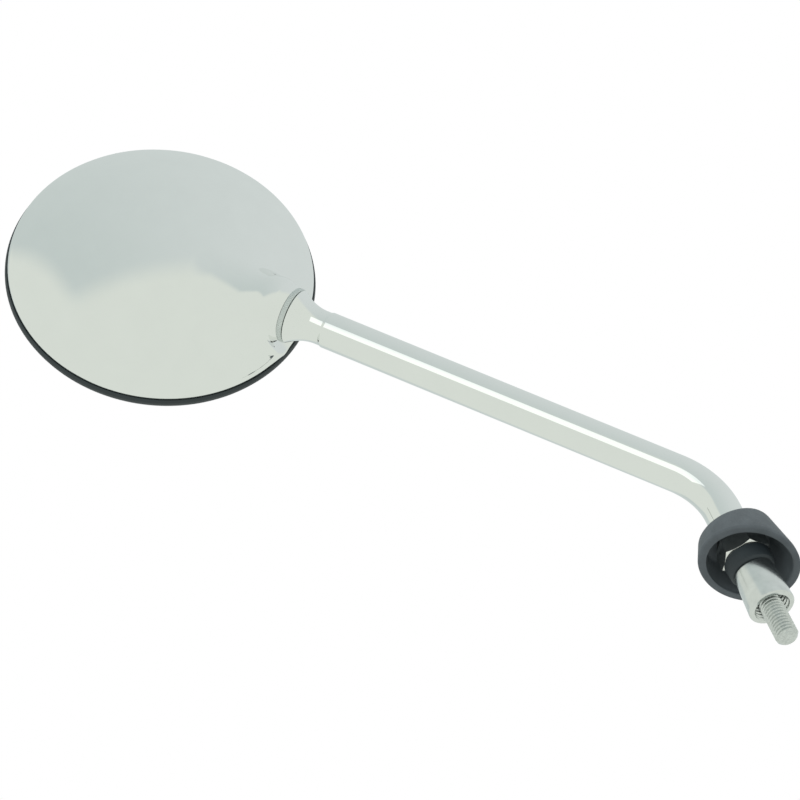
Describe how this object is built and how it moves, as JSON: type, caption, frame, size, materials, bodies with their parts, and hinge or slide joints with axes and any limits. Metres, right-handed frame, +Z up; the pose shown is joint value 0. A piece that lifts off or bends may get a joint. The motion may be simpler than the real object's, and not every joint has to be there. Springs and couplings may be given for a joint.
{
  "type": "motorcycle mirror",
  "caption": "Round chromed rear-view mirror on a bent tubular stem, with a ball joint behind the head and a threaded foot with lock nut and rubber boot.",
  "frame": {"origin": "on the stud's axis, at the lower face of the spacer barrel", "axes": "+Z up the stem, away from the stud's tip; the arm leans towards +X; the glass looks towards -Y and the dome towards +Y"},
  "size_m": [0.224, 0.0379, 0.2811],
  "materials": {
    "zinc_stud": "zinc plated, rolled thread",
    "zinc_barrel": "zinc plated, satin",
    "black_rubber": "moulded, satin",
    "plated_nut": "nickel plated, bright",
    "boot_rubber": "moulded, matt",
    "plain_steel": "turned, zinc plated",
    "arm_chrome": "polished chrome plate",
    "knurled_zinc": "knurled, zinc plated",
    "spring_steel": "drawn wire, oiled",
    "shell_chrome": "pressed steel, polished chrome plate",
    "bezel_plastic": "moulded, satin",
    "mirror": "silvered convex glass",
    "foam": "closed-cell foam rubber",
    "plate_steel": "pressed sheet"
  },
  "bodies": {
    "mount": {"stud": "zinc_stud", "barrel": "zinc_barrel", "rubber_bush": "black_rubber", "lock_nut": "plated_nut"},
    "arm": {"foot_insert": "plain_steel", "arm_tube": "arm_chrome", "neck_insert": "plain_steel", "draw_bolt": "plain_steel", "spring_cup": "plain_steel", "tension_spring": "spring_steel", "spring_washer": "plain_steel", "tension_nut": "plain_steel"},
    "boot": {"boot": "boot_rubber"},
    "ring": {"seat_ring": "knurled_zinc"},
    "washer": {"ball_washer": "plain_steel"},
    "head": {"shell": "shell_chrome", "bezel": "bezel_plastic", "mirror_glass": "mirror", "foam_pad": "foam", "backing_plate": "plate_steel", "foam_blocks": "foam"}
  },
  "joints": [
    {"name": "arm_swivel", "type": "hinge", "parent": "mount", "child": "arm", "pos_m": [0, 0, 0.035], "axis": [0, 0, 1], "range_deg": [-180, 180]},
    {"name": "boot_slide", "type": "slide", "parent": "arm", "child": "boot", "axis": [0, 0, 1], "range_m": [0, 0.007]},
    {"name": "head_twist", "type": "hinge", "parent": "arm", "child": "ring", "pos_m": [0.12049, 0, 0.17699], "axis": [0.7071, 0, 0.7071], "continuous": true},
    {"name": "head_nod", "type": "hinge", "parent": "ring", "child": "washer", "pos_m": [0.12049, 0, 0.17699], "axis": [0.7071, 0, -0.7071], "range_deg": [-11, 3]},
    {"name": "head_turn", "type": "hinge", "parent": "washer", "child": "head", "pos_m": [0.12049, 0, 0.17699], "axis": [0, 1, 0], "range_deg": [-10, 10]}
  ]
}
